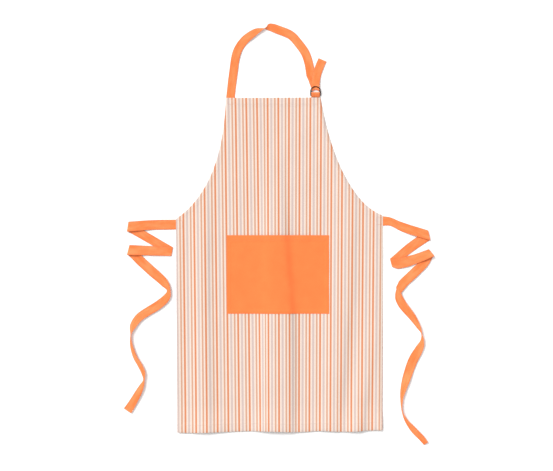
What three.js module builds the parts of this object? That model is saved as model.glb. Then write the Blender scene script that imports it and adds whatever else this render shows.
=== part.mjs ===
// A striped bib apron laid out flat, face up: a one-piece cloth panel with turned hems, a patch
// pocket, a neck strap that closes through two D-rings, and two long waist ties lying in loose folds.
// Millimetres, +Z up. X runs across the apron and +Y towards the neck strap. The origin is the centre
// of the laid-out footprint, on the surface that the apron lies on.
import * as THREE from 'three';

// ---- driving dimensions ----
const CLOTH = 0.6;                       // thickness of the panel cloth
const HEM = 1.2;                         // a turned hem, two pressed layers of cloth
const TAPE = 0.9;                        // thickness of the strap and tie tape
const GAP = 0.3;                         // clearance kept between pieces that turn
const REST = 0.1;                        // clearance kept between stacked layers
const PANEL_BASE = HEM + REST;           // underside of the front panel
const PANEL_TOP = PANEL_BASE + CLOTH;

const BIB_LEFT = [-157, 402.5];          // corners of the panel, seen from above
const BIB_RIGHT = [119, 403.5];
const WAIST_LEFT = [-303, 49];
const WAIST_RIGHT = [301.5, 59];
const FOOT_LEFT = [-299, -571];
const FOOT_RIGHT = [299, -567];
const ARM_LEFT = [[-163, 250], [-200, 120]];     // control points of the two armhole curves
const ARM_RIGHT = [[135, 300], [188, 100]];

const SIDE_HEM = 14;                     // widths of the hems
const ARM_HEM = 12;
const FOOT_HEM = 25;
const BIB_HEM = 22;
const EDGE_IN = 0.3;                     // a hem's fold, in from the panel's edge
const STITCH_IN = 2.5;                   // a hem's stitching, in from the hem's inner edge
const THREAD = { width: 0.8, thick: 0.3 };

const STRAP_WIDTH = 25;
const TIE_WIDTH = 28;
const SEWN = 22;                         // length of tape sewn under the panel
const SEWN_THICK = 1.1;
const SLUMP = 0.28;                      // how high a tape on edge stands, as a share of its width

const POCKET = { left: -154, right: 144, bottom: -227.5, top: 1.5, bow: 10, flange: 5 };
const POCKET_HEM = 18;

const RING = { x: 104.4, half: 14.3, depth: 20, wire: 1.3, corner: 2.2 };
const LOWER_RING = { y: 408.7, z: 2.5, rise: 0 };     // straight bar's place, and the arc's rise
const UPPER_RING = { y: 415.2, z: 5.7, rise: 1.3 };

// Routes of the tapes: x, y, the tape's turn about its own length in degrees, 90 on edge, and for
// some a skew, the angle in plan from a square cross-section.
const STRAP_ROUTE = [
  [-143.8, 404.4, 0], [-136.2, 469, 0], [-124.5, 536.6, -4], [-105, 568, -10], [-74, 593, -36],
  [-56, 601.5, -66], [-44, 604.7, -90], [-36, 606, -116, -12], [-27.4, 609, -152, -24],
  [-6, 601.8, -176], [32.9, 585, -180], [56, 560, -180], [74.5, 533, -180], [84.3, 504.4, -180],
  [90.3, 468, -180],
];
const TAIL_ROUTE = [[104.4, 441.8], [104.4, 449], [108, 469.4], [116, 492.8], [124.8, 513.5]];

// A tie leaves its seam, folds at three creases in a zigzag and goes on along its route. A crease or
// seam is given by the tape's upper and lower edge, and a bend also by its share of the way between
// creases. loops holds the heights of the two edges of the upper layer at each crease, and lead is
// the share of the route's first span that the last crease takes up.
const LEFT_TIE = {
  out: -1,
  seam: { x: -303.3, top: 47, bottom: 18.3 },
  loops: [[3, 6.5], [2.6, 2.6], [3, 7]],
  creases: [
    [[-441.7, 41], [-446, 12]], [[-311.7, -32.9], [-316.1, -59.1]], [[-438.7, -27], [-446, -56.2]],
  ],
  bends: [[[0.55, [-379.4, 45.2], [-381.8, 16.8]]], [], []],
  lead: 1,
  route: [
    [-406, -74, 8], [-374, -103, 8], [-339, -135, 28], [-324, -159.5, 67], [-331, -181, 40],
    [-357, -203.8, 27], [-385, -221, 28], [-411, -239, 34], [-427.5, -262, 48], [-434.5, -289, 84],
    [-434, -313, 76], [-429, -335, 68], [-420.5, -357, 64], [-408.5, -377, 60], [-398.5, -399, 64],
    [-396.5, -421, 80], [-402.5, -438, 62], [-411.5, -456, 48], [-422, -475, 40], [-432.5, -493, 32],
    [-444.5, -511, 25],
  ],
};
const RIGHT_TIE = {
  out: 1,
  seam: { x: 301.8, top: 57, bottom: 29.5 },
  loops: [[3, 4.5], [2.6, 2.6], [3.5, 8]],
  creases: [
    [[432.9, 15.9], [439.6, -13.3]], [[321.3, -66.4], [327.8, -91.3]], [[435.8, -39.6], [451.9, -60.6]],
  ],
  bends: [
    [[0.15, [321.5, 54], [322.5, 29]], [0.34, [346.4, 43.6], [348.7, 16]]],
    [[0.5, [377.1, -20], [383.7, -49.5]]],
    [
      [0.12, [335, -66.8], [343, -96]], [0.3, [357, -63], [366, -92.5]],
      [0.6, [390, -55], [402.3, -80.5]],
    ],
  ],
  lead: 0.6,
  route: [
    [414.4, -87.3, -18], [397, -103.9, -15], [378.8, -121.2, -15], [362.5, -136.7, -16],
    [349, -154.2, -19, -36], [346.8, -162, -50, -36], [346.6, -171.8, -47, -8], [349.2, -184.5, -34],
    [359, -202, -28], [386, -236, -44], [405, -266, -66], [414, -286, -86], [415.5, -306, -70],
    [407, -330, -36], [389, -363, -16], [373.5, -405, -27], [360, -450, -56], [355.5, -478, -76],
    [357, -511, -86], [367, -536, -74], [391, -567, -52], [416, -593, -54], [426.5, -606.5, -60],
  ],
};

// ---- materials ----
const striped = { color: 0xf1dccb, roughness: 0.9, metalness: 0 };
const orange = { color: 0xfe8e50, roughness: 0.85, metalness: 0 };
const tape = { color: 0xfc9258, roughness: 0.85, metalness: 0 };
const thread = { color: 0xf0a070, roughness: 0.8, metalness: 0 };
const gunmetal = { color: 0x4d3a2e, roughness: 0.35, metalness: 1 };

const apron = new THREE.Group();

function add(name, geometry, look) {
  const mesh = new THREE.Mesh(geometry, new THREE.MeshStandardMaterial(look));
  mesh.name = name;
  apron.add(mesh);
  return mesh;
}

// ---- shared shapes ----
const vec = (x, y, z) => new THREE.Vector3(x, y, z);
const mix = (a, b, t) => a + (b - a) * t;
const smooth = (t) => THREE.MathUtils.smoothstep(t, 0, 1);
const spaced = (from, to, steps) => Array.from(
  { length: steps + 1 }, (unused, i) => mix(from, to, i / steps),
);

function closedMesh(points, index) {
  const geometry = new THREE.BufferGeometry();
  const positions = points.flatMap((p) => [p.x, p.y, p.z]);
  geometry.setAttribute('position', new THREE.Float32BufferAttribute(positions, 3));
  geometry.setIndex(index);
  geometry.computeVertexNormals();
  return geometry;
}

// A thin closed solid about a grid of middle points. normals holds one direction for each point.
function sheetSolid(grid, normals, thick) {
  const rows = grid.length;
  const cols = grid[0].length;
  const points = [];
  for (const side of [0.5, -0.5]) {
    for (let i = 0; i < rows; i += 1) {
      for (let j = 0; j < cols; j += 1) {
        points.push(grid[i][j].clone().addScaledVector(normals[i][j], side * thick));
      }
    }
  }
  const upper = (i, j) => i * cols + j;
  const lower = (i, j) => rows * cols + i * cols + j;
  const index = [];
  const quad = (a, b, c, d) => index.push(a, b, c, a, c, d);
  for (let i = 0; i < rows - 1; i += 1) {
    for (let j = 0; j < cols - 1; j += 1) {
      quad(upper(i, j), upper(i, j + 1), upper(i + 1, j + 1), upper(i + 1, j));
      quad(lower(i, j), lower(i + 1, j), lower(i + 1, j + 1), lower(i, j + 1));
    }
    quad(upper(i + 1, 0), lower(i + 1, 0), lower(i, 0), upper(i, 0));
    quad(upper(i, cols - 1), lower(i, cols - 1), lower(i + 1, cols - 1), upper(i + 1, cols - 1));
  }
  for (let j = 0; j < cols - 1; j += 1) {
    quad(upper(0, j), lower(0, j), lower(0, j + 1), upper(0, j + 1));
    quad(upper(rows - 1, j + 1), lower(rows - 1, j + 1), lower(rows - 1, j), upper(rows - 1, j));
  }
  return closedMesh(points, index);
}

// A tape is a list of cross-sections, each a row of points from one edge to the other. Its thickness
// lies along the cross product of the row's direction and the tape's direction.
function tapeSolid(rows, thick) {
  const middle = (row) => row[0].clone().add(row[row.length - 1]).multiplyScalar(0.5);
  const normals = rows.map((row, i) => {
    const ahead = rows[Math.min(i + 1, rows.length - 1)];
    const behind = rows[Math.max(i - 1, 0)];
    return row.map((point, j) => {
      const along = ahead[j].clone().sub(behind[j]);
      if (along.length() < 0.01) along.copy(middle(ahead).sub(middle(behind)));
      const across = row[Math.min(j + 1, row.length - 1)].clone().sub(row[Math.max(j - 1, 0)]);
      return across.cross(along).normalize();
    });
  });
  return sheetSolid(rows, normals, thick);
}

// A flat strip between two lists of plan points, lying from base to base + thick.
function flatStrip(outer, inner, base, thick) {
  const middle = base + thick / 2;
  const grid = outer.map((p, i) => [vec(p.x, p.y, middle), vec(inner[i].x, inner[i].y, middle)]);
  const up = vec(0, 0, 1);
  const turn = (inner[0].x - outer[0].x) * (outer[1].y - outer[0].y)
    - (inner[0].y - outer[0].y) * (outer[1].x - outer[0].x);
  const rows = turn > 0 ? grid : grid.map((row) => [row[1], row[0]]);
  return sheetSolid(rows, rows.map((row) => row.map(() => up)), thick);
}

// The plan points of a line, moved sideways: positive is to the left of its direction.
function offsetLine(points, distance) {
  return points.map((p, i) => {
    const a = points[Math.max(i - 1, 0)];
    const b = points[Math.min(i + 1, points.length - 1)];
    const along = b.clone().sub(a).normalize();
    return new THREE.Vector2(p.x - along.y * distance, p.y + along.x * distance);
  });
}

const line = (from, to) => [from, to].map((p) => new THREE.Vector2(...p));

function hemStrip(name, edge, inside, width) {
  const outer = offsetLine(edge, inside * EDGE_IN);
  add(name, flatStrip(outer, offsetLine(edge, inside * width), 0, HEM), striped);
}

function stitchLine(name, points, base = PANEL_TOP + REST) {
  const half = THREAD.width / 2;
  add(name, flatStrip(offsetLine(points, -half), offsetLine(points, half), base, THREAD.thick), thread);
}

// ---- front panel ----
function armhole(bib, controls, waist) {
  return new THREE.CubicBezierCurve(...[bib, ...controls, waist].map((p) => new THREE.Vector2(...p)));
}
const armLeft = armhole(BIB_LEFT, ARM_LEFT, WAIST_LEFT);
const armRight = armhole(BIB_RIGHT, ARM_RIGHT, WAIST_RIGHT);
const ARM_STEPS = 28;

function frontPanel() {
  const shape = new THREE.Shape();
  shape.moveTo(...FOOT_LEFT);
  shape.lineTo(...FOOT_RIGHT);
  shape.lineTo(...WAIST_RIGHT);
  armRight.getPoints(ARM_STEPS).reverse().slice(1).forEach((p) => shape.lineTo(p.x, p.y));
  shape.lineTo(...BIB_LEFT);
  armLeft.getPoints(ARM_STEPS).slice(1).forEach((p) => shape.lineTo(p.x, p.y));
  const geometry = new THREE.ExtrudeGeometry(shape, { depth: CLOTH, bevelEnabled: false });
  geometry.translate(0, 0, PANEL_BASE);
  return geometry;
}
add('front_panel', frontPanel(), striped);

// ---- hems behind the panel, and the stitching that shows on its face ----
// Part of a curve, as plan points, between two fractions of its length.
const partOf = (curve, [from, to]) => spaced(from, to, ARM_STEPS).map((t) => curve.getPointAt(t));
const ARM_HEMMED = [0.062, 0.93];        // the armhole hems stop short of the sewn tape ends
const ARM_STITCHED = [0.03, 0.985];
const armLeftEdge = partOf(armLeft, ARM_HEMMED);
const armRightEdge = partOf(armRight, ARM_HEMMED);
hemStrip('left_armhole_hem', armLeftEdge, 1, ARM_HEM);
hemStrip('right_armhole_hem', armRightEdge, -1, ARM_HEM);

const onSide = (foot, waist) => (y) => [mix(foot[0], waist[0], (y - foot[1]) / (waist[1] - foot[1])), y];
const sideLeft = onSide(FOOT_LEFT, WAIST_LEFT);
const sideRight = onSide(FOOT_RIGHT, WAIST_RIGHT);
const sideLeftEdge = line(sideLeft(FOOT_LEFT[1] + FOOT_HEM + 1), sideLeft(LEFT_TIE.seam.bottom - 2));
const sideRightEdge = line(sideRight(FOOT_RIGHT[1] + FOOT_HEM + 1), sideRight(RIGHT_TIE.seam.bottom - 2));
hemStrip('left_side_hem', sideLeftEdge, -1, SIDE_HEM);
hemStrip('right_side_hem', sideRightEdge, 1, SIDE_HEM);
const footEdge = line([FOOT_LEFT[0] + 0.5, FOOT_LEFT[1]], [FOOT_RIGHT[0] - 0.5, FOOT_RIGHT[1]]);
hemStrip('bottom_hem', footEdge, 1, FOOT_HEM);

const strapEnd = STRAP_ROUTE[0][0] + STRAP_WIDTH / 2 + 1;
const tabStart = RING.x - STRAP_WIDTH / 2 - 1;
const bibSlope = (BIB_RIGHT[1] - BIB_LEFT[1]) / (BIB_RIGHT[0] - BIB_LEFT[0]);
const bibTop = (x) => [x, BIB_LEFT[1] + (x - BIB_LEFT[0]) * bibSlope];
hemStrip('bib_top_hem', line(bibTop(strapEnd), bibTop(tabStart)), -1, BIB_HEM);

stitchLine('left_armhole_stitching', offsetLine(partOf(armLeft, ARM_STITCHED), ARM_HEM - STITCH_IN));
stitchLine('right_armhole_stitching', offsetLine(partOf(armRight, ARM_STITCHED), STITCH_IN - ARM_HEM));
const sideStitch = SIDE_HEM - STITCH_IN;
stitchLine('left_side_stitching', offsetLine(line(sideLeft(FOOT_LEFT[1] + 6), sideLeft(34)), -sideStitch));
stitchLine('right_side_stitching', offsetLine(line(sideRight(FOOT_RIGHT[1] + 6), sideRight(44)), sideStitch));
const footInset = sideStitch + 2;
stitchLine('bottom_hem_stitching', offsetLine(
  line([FOOT_LEFT[0] + footInset, FOOT_LEFT[1]], [FOOT_RIGHT[0] - footInset, FOOT_RIGHT[1]]),
  FOOT_HEM - STITCH_IN,
));
stitchLine('bib_top_stitching', offsetLine(
  line(bibTop(BIB_LEFT[0] + ARM_HEM + 3), bibTop(BIB_RIGHT[0] - ARM_HEM - 6)), STITCH_IN - BIB_HEM,
));

// ---- pocket ----
const { left, right, bottom, top, flange } = POCKET;

// Height of the pocket front above its flat sewn edges: nothing at the flange, most at the mouth.
function pocketLift(x, y) {
  const half = (right - left) / 2 - flange;
  const across = THREE.MathUtils.clamp((Math.min(x - left, right - x) - flange) / half, 0, 1);
  const up = THREE.MathUtils.clamp((y - bottom - flange) / (top - bottom - flange), 0, 1);
  return POCKET.bow * Math.sin(across * Math.PI / 2) * Math.min(1, 1.35 * smooth(up));
}

// A sheet that follows the pocket front, raised by rise from the front's own middle.
function pocketSheet(xs, ys, rise, thick) {
  const middle = PANEL_TOP + REST + CLOTH / 2;
  const grid = ys.map((y) => xs.map((x) => vec(x, y, middle + pocketLift(x, y) + rise)));
  return sheetSolid(grid, grid.map((row) => row.map(() => vec(0, 0, 1))), thick);
}
const frontX = [left, ...spaced(left + flange, right - flange, 28), right];
const frontY = [bottom, ...spaced(bottom + flange, top, 12)];
add('pocket', pocketSheet(frontX, frontY, 0, CLOTH), orange);

const hemX = frontX.slice(4, -4);
add('pocket_mouth_hem', pocketSheet(hemX, [top - POCKET_HEM, top - 0.5], -CLOTH - REST, CLOTH), orange);
const onFront = (CLOTH + THREAD.thick) / 2 + REST;
const mouthY = top - POCKET_HEM + STITCH_IN;
add('pocket_mouth_stitching', pocketSheet(
  frontX.slice(1, -1), [mouthY, mouthY + THREAD.width], onFront, THREAD.thick,
), thread);

// The pocket is held by one line of stitches down, across and up again.
function pocketStitching() {
  const outline = (inset) => [
    [left + inset, top - 2], [left + inset, bottom + inset],
    [right - inset, bottom + inset], [right - inset, top - 2],
  ].map((p) => new THREE.Vector2(...p));
  const near = flange / 2;
  const shape = new THREE.Shape([...outline(near), ...outline(near + THREAD.width).reverse()]);
  const geometry = new THREE.ExtrudeGeometry(shape, { depth: THREAD.thick, bevelEnabled: false });
  geometry.translate(0, 0, PANEL_TOP + REST + CLOTH + REST);
  return geometry;
}
add('pocket_stitching', pocketStitching(), thread);

// ---- tapes ----
const ROUTE_STEPS = 5;                   // cross-sections for each span of a route

// Cross-sections along a smooth route, leaving out the first spans up to lead. side is 1 where the
// row starts at the tape's left edge.
function routeRows(route, width, side, columns = 2, lead = 0) {
  const smoothed = (points) => new THREE.CatmullRomCurve3(points, false, 'centripetal');
  const path = smoothed(route.map(([x, y, turn]) => vec(x, y, turn)));
  const skews = smoothed(route.map(([x, y, , skew]) => vec(x, y, skew ?? 0)));
  const radians = THREE.MathUtils.degToRad;
  const half = width / 2;
  const steps = ROUTE_STEPS * (route.length - 1);
  const rows = [];
  for (let i = lead * ROUTE_STEPS; i <= steps; i += 1) {
    const p = path.getPoint(i / steps);
    const tangent = path.getTangent(i / steps);
    const turn = radians(THREE.MathUtils.clamp(p.z, -180, 180));
    const bearing = Math.atan2(tangent.x, -tangent.y) + radians(skews.getPoint(i / steps).z);
    const flat = Math.cos(turn) * side;
    const raised = Math.sin(turn) * SLUMP;
    const height = Math.abs(raised) * half + Math.abs(flat) * TAPE / 2;
    const across = vec(Math.cos(bearing) * flat, Math.sin(bearing) * flat, raised);
    rows.push(spaced(half, -half, columns - 1).map((u) => vec(p.x, p.y, height).addScaledVector(across, u)));
  }
  return rows;
}

// The value at t on straight lines through knots of [t, value].
function through(t, knots) {
  const next = Math.max(1, knots.findIndex(([at]) => at >= t));
  const [from, a] = knots[next - 1];
  const [to, b] = knots[next];
  return mix(a, b, (t - from) / (to - from));
}

// Cross-sections from one edge line to another by way of bends. heights holds [t, edge, edge].
function spanRows(start, end, bends, heights, steps) {
  const lines = [[0, ...start], ...bends, [1, ...end]];
  const at = (t, knots, edge, axis) => through(t, knots.map((knot) => [knot[0], knot[edge][axis]]));
  return spaced(0, 1, steps).map((t) => [1, 2].map((edge) => vec(
    at(t, lines, edge, 0), at(t, lines, edge, 1), through(t, heights.map((knot) => [knot[0], knot[edge]])),
  )));
}

// ---- waist ties ----
const FLOOR = TAPE / 2;                  // middle of a tape that lies on the surface
const OVER = FLOOR + 2;                  // middle of a layer that lies on another
const FOLD_STEPS = 6;

// A half turn about a crease between a layer at the loop's heights and one on the surface. out
// points away from the folded layers.
function creaseRows(crease, out, loop, rising) {
  return spaced(0, Math.PI, FOLD_STEPS).map((angle) => crease.map(([x, y], edge) => {
    const radius = (loop[edge] - FLOOR) / 2;
    const reach = out * (radius * Math.sin(angle) - radius - FLOOR);
    return vec(x + reach, y, FLOOR + radius * (1 + (rising ? -1 : 1) * Math.cos(angle)));
  }));
}

// Where the layers meet the half turn: the crease's line, moved back by the turn's own reach.
const creaseStart = (crease, out, loop) => crease.map(
  ([x, y], edge) => [x - out * (loop[edge] + FLOOR) / 2, y],
);

function tieRows({ out, seam, loops, creases, bends, lead, route }) {
  const flat = [[0, FLOOR, FLOOR], [1, FLOOR, FLOOR]];
  const [first, second, third] = creases.map(
    (crease, i) => creaseStart(crease, i === 1 ? -out : out, loops[i]),
  );
  // An upper layer lies on the one below it, and its lower edge lifts towards the crease.
  const towards = (loop, from) => [
    [from, OVER, OVER + 1], [mix(from, 1, 0.5), loop[0], loop[1] - 0.4], [1, ...loop],
  ];
  const rows = spanRows([[seam.x, seam.top], [seam.x, seam.bottom]], first, bends[0], [
    [0, FLOOR, FLOOR], [0.12, FLOOR + 0.3, FLOOR + 0.3], [0.4, FLOOR + 0.3, FLOOR + 0.3],
    ...towards(loops[0], 0.58),
  ], 14);
  rows.push(...creaseRows(creases[0], out, loops[0], false));
  rows.push(...spanRows(first, second, bends[1], flat, 8).slice(1, -1));
  rows.push(...creaseRows(creases[1], -out, loops[1], true));
  rows.push(...spanRows(second, third, bends[2], [
    [0, ...loops[1]], [0.1, OVER, OVER], [0.4, OVER, OVER], ...towards(loops[2], 0.66),
  ], 14).slice(1, -1));
  rows.push(...creaseRows(creases[2], out, loops[2], false));
  const [near, far] = creases[2];
  const start = [(near[0] + far[0]) / 2 - out * 2, (near[1] + far[1]) / 2, 0];
  rows.push(...routeRows([start, ...route], TIE_WIDTH, -out, 2, lead));
  return rows;
}

// A row of stitches across a tape, on the face that its cross-section's normal points to.
function crossStitch(name, rows, at) {
  const row = rows[at];
  const along = row[0].clone().sub(rows[at - 1][0]).normalize();
  const across = row[1].clone().sub(row[0]);
  const normal = across.clone().cross(along).normalize();
  const start = row[0].clone().addScaledVector(across, 0.06)
    .addScaledVector(normal, TAPE / 2 + REST + THREAD.thick / 2);
  const here = [start, start.clone().addScaledVector(across, 0.88)];
  const there = here.map((p) => p.clone().addScaledVector(along, THREAD.width));
  add(name, tapeSolid([here, there], THREAD.thick), thread);
}

add('left_tie', tapeSolid(tieRows(LEFT_TIE), TAPE), tape);
add('right_tie', tapeSolid(tieRows(RIGHT_TIE), TAPE), tape);

// ---- neck strap ----
// The strap runs flat under both rings, turns up round the lower ring's arc and comes back over it and
// under the upper ring's arc. There it is gathered a little and curved to follow the arcs.
const STRAP_COLUMNS = 7;
const GATHERED = 11;                     // half the strap's width where it passes the rings
const TAIL_GATHER = 0.8;                 // how much narrower the tail starts on each side
const ARC_Y = LOWER_RING.y + RING.depth - RING.half;   // centre of the lower ring's arc
const WRAP = RING.wire + GAP + TAPE / 2; // from the wire's middle to the strap's middle
const RETURN_Z = LOWER_RING.z + WRAP;

// One cross-section near the rings: bend 1 follows the lower ring's arc, 0 is straight across.
function ringRow(y, z, half, bend, shift = 0) {
  return spaced(-half, half, STRAP_COLUMNS - 1).map((u) => {
    const drop = RING.half - Math.sqrt(RING.half ** 2 - (u * GATHERED / half) ** 2);
    return vec(RING.x + shift + u, y - drop * bend, z);
  });
}

// The strap's way in to the rings: distance above the lower ring, narrowing, bend and sideways shift.
const RING_APPROACH = [
  [26, 0, 0, -8.6], [20, 0, 0.15, -6.2], [14, 0.3, 0.4, -4], [10, 0.8, 0.6, -2.4], [6, 1.1, 0.8, -1],
];

// The turn about the lower ring's wire, at an angle from 0 below the wire to 180 above it.
function wrapRow(degrees) {
  const angle = THREE.MathUtils.degToRad(degrees);
  return spaced(-GATHERED, GATHERED, STRAP_COLUMNS - 1).map((u) => {
    const rise = Math.sqrt(RING.half ** 2 - u ** 2);
    const reach = WRAP * Math.sin(angle) / RING.half;
    return vec(RING.x + u * (1 - reach), ARC_Y + rise * (1 - reach), LOWER_RING.z - WRAP * Math.cos(angle));
  });
}

function neckStrap() {
  const arcY = ARC_Y + RING.half;
  const rows = routeRows(STRAP_ROUTE, STRAP_WIDTH, 1, STRAP_COLUMNS);
  const half = STRAP_WIDTH / 2;
  RING_APPROACH.forEach(([up, narrower, bend, shift]) => {
    rows.push(ringRow(arcY + up, FLOOR, half - narrower, bend, shift));
  });
  for (let degrees = 0; degrees <= 180; degrees += 22.5) rows.push(wrapRow(degrees));
  rows.push(ringRow(arcY + 5, RETURN_Z, GATHERED + 0.3, 0.6));
  rows.push(ringRow(TAIL_ROUTE[0][1] - 2 * GAP, RETURN_Z, half - TAIL_GATHER, 0));
  return rows;
}
add('neck_strap', tapeSolid(neckStrap(), TAPE), tape);

// The loose end beyond the rings, lying on the strap.
const TAIL_HEIGHT = [RETURN_Z, RETURN_Z - 0.9, 2.1, 1.8, 1.6];
function tailRows() {
  const path = new THREE.CatmullRomCurve3(TAIL_ROUTE.map(([x, y], i) => vec(x, y, TAIL_HEIGHT[i])));
  return spaced(0, 1, 16).map((t) => {
    const p = path.getPoint(t);
    const tangent = path.getTangent(t);
    const plan = Math.hypot(tangent.x, tangent.y);
    const half = STRAP_WIDTH / 2 - TAIL_GATHER * (1 - smooth(t * 4));
    return [-half, half].map((u) => vec(p.x + u * tangent.y / plan, p.y - u * tangent.x / plan, p.z));
  });
}
const tail = tailRows();
add('neck_strap_tail', tapeSolid(tail, TAPE), tape);

// ---- rings ----
// A D-ring: a round wire along a straight bar, two short sides and a half-round arc. Its plane rises
// from the bar to the top of the arc.
function ringSolid({ y, z, rise }) {
  const { half, corner, depth } = RING;
  const outline = new THREE.Path();
  outline.moveTo(0, 0);
  outline.lineTo(half - corner, 0);
  outline.quadraticCurveTo(half, 0, half, corner);
  outline.absarc(0, depth - half, half, 0, Math.PI);
  outline.lineTo(-half, corner);
  outline.quadraticCurveTo(-half, 0, corner - half, 0);
  const loop = outline.getPoints(10).map(({ x, y: v }) => vec(RING.x + x, y + v, z + rise * v / depth));
  const normal = vec(0, -rise / RING.depth, 1).normalize();
  const sides = 10;
  const vertices = [];
  loop.forEach((p, i) => {
    const behind = loop[(i + loop.length - 1) % loop.length];
    const outward = loop[(i + 1) % loop.length].clone().sub(behind).cross(normal).normalize();
    for (let k = 0; k < sides; k += 1) {
      const angle = 2 * Math.PI * k / sides;
      vertices.push(p.clone().addScaledVector(outward, RING.wire * Math.cos(angle))
        .addScaledVector(normal, RING.wire * Math.sin(angle)));
    }
  });
  const index = [];
  loop.forEach((unused, i) => {
    const next = (i + 1) % loop.length;
    for (let k = 0; k < sides; k += 1) {
      const other = (k + 1) % sides;
      const [a, b, c, d] = [i * sides + k, next * sides + k, next * sides + other, i * sides + other];
      index.push(a, b, c, a, c, d);
    }
  });
  return closedMesh(vertices, index);
}
add('lower_d_ring', ringSolid(LOWER_RING), gunmetal);
add('upper_d_ring', ringSolid(UPPER_RING), gunmetal);

// ---- ring tab ----
// A short tape that leaves the bib, passes round both straight bars and comes back to the bib.
const TAB_PATH = [
  [403.9, 0.45], [408.9, 0.45], [414.5, 0.45], [416.7, 1.2], [418, 3], [418.3, 5.3], [417.8, 7],
  [415.5, 7.9], [411.9, 6.7], [407.5, 4.2], [404, 1.5],
];
const tabRows = TAB_PATH.map(([y, z]) => [-0.5, 0.5].map((u) => vec(RING.x + u * STRAP_WIDTH, y, z)));
add('ring_tab', tapeSolid(tabRows, TAPE), tape);

// ---- sewn tape ends, tacked under the panel ----
function sewnEnd(name, x0, x1, y0, y1) {
  const geometry = new THREE.BoxGeometry(x1 - x0, y1 - y0, SEWN_THICK);
  geometry.translate((x0 + x1) / 2, (y0 + y1) / 2, SEWN_THICK / 2);
  add(name, geometry, tape);
}
const bibY = BIB_LEFT[1] - 0.2;
const strapX = STRAP_ROUTE[0][0];
sewnEnd('neck_strap_sewn_end', strapX - STRAP_WIDTH / 2, strapX + STRAP_WIDTH / 2, bibY - SEWN, bibY);
sewnEnd('ring_tab_sewn_end', RING.x - STRAP_WIDTH / 2, RING.x + STRAP_WIDTH / 2, bibY - SEWN, bibY);
const leftSeam = LEFT_TIE.seam;
const rightSeam = RIGHT_TIE.seam;
sewnEnd('left_tie_sewn_end', leftSeam.x + 0.6, leftSeam.x + SEWN, leftSeam.bottom, leftSeam.top);
sewnEnd('right_tie_sewn_end', rightSeam.x - SEWN, rightSeam.x - 0.6, rightSeam.bottom, rightSeam.top);

// A row of stitches across a sewn end holds it to the panel and shows on its face.
const TACK = { half: 9, bibIn: 5, sideIn: 6, sideEnd: 4 };
function tackAcross(name, x) {
  stitchLine(name, line([x - TACK.half, bibY - TACK.bibIn], [x + TACK.half, bibY - TACK.bibIn]));
}
function tackUp(name, { out, seam }) {
  const x = seam.x - out * TACK.sideIn;
  stitchLine(name, line([x, seam.bottom + TACK.sideEnd], [x, seam.top - TACK.sideEnd]));
}
tackAcross('neck_strap_stitching', strapX);
tackAcross('ring_tab_stitching', RING.x);
tackUp('left_tie_stitching', LEFT_TIE);
tackUp('right_tie_stitching', RIGHT_TIE);
crossStitch('tail_end_stitching', tail, tail.length - 2);

export default apron;
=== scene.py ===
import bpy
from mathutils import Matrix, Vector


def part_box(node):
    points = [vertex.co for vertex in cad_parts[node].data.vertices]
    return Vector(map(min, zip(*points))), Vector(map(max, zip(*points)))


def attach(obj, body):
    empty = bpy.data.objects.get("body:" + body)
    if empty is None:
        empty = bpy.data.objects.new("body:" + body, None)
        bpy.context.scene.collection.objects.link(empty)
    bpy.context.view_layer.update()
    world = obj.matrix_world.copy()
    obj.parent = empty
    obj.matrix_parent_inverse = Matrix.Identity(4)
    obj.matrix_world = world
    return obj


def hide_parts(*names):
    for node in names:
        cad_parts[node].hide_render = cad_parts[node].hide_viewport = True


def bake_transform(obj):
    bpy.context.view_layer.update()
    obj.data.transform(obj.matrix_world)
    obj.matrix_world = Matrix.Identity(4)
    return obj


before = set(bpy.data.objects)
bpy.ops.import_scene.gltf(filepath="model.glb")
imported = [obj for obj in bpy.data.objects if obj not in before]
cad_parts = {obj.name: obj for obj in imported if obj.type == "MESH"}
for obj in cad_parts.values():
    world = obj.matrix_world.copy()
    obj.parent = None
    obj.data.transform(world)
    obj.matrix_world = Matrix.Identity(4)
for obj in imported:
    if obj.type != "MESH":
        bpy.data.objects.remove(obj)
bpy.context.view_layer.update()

import math

import bpy
import numpy as np
from mathutils import Vector

# A striped bib apron lying face up on a white surface. Metres, +Z up, in the CAD model's frame.
# Every piece is built in mesh code: cloth shells, flat tapes, wire rings and single stitches.

# ---- driving dimensions ----
MM = 0.001
CLOTH = 0.6 * MM
HEM = 1.1 * MM  # thickness of the cloth turned to the back
HEM_STEP = 0.5 * MM  # how far a hem lifts the panel above its own level
HEM_GAP = 0.05 * MM  # clearance between a cloth and its own hem
EDGE_IN = 0.3 * MM  # a hem's fold, in from the panel's edge
EDGE_ROUND = 0.9 * MM  # how far in a pressed edge is rounded
EDGE_DROP = 1.0 * MM  # the panel's folded edge, down from its upper face
PANEL_TOP = 1.75 * MM  # the panel's upper face where it has no hem
FOOT_CURL, FOOT_CURL_WIDTH = 4.4 * MM, 0.080  # how far the foot hem curls up, and over what width
FOOT_DIP, FOOT_DIP_WIDTH = 1.0 * MM, 0.004  # and turns down again at its edge
SIDE_ROLL = 2.2 * MM  # how far the right side stands up before its edge
REST = 0.1 * MM
TAPE = 0.9 * MM
STRAP_WIDTH = 0.025
TIE_WIDTH = 0.028
SEWN = 0.022  # length of tape sewn under the panel
SEWN_LEVEL = 0.55 * MM  # height of the middle of that tape
SIDE_HEM, ARM_HEM, FOOT_HEM, BIB_HEM = 0.014, 0.012, 0.025, 0.022
STITCH_IN = 2.5 * MM  # a seam line, in from the hem's inner edge
GROOVE = 0.9 * MM  # half width of the groove that a seam pulls in

POCKET_LOW, POCKET_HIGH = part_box("pocket")
POCKET_FLANGE = 0.005
POCKET_TURN = 0.010  # cloth turned under along the sewn edges
POCKET_HEM = 0.018
POCKET_SEAM = 2.9 * MM  # the pocket's seam lines, in from the edges they follow
POCKET_BOW = 3.4 * MM

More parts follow.
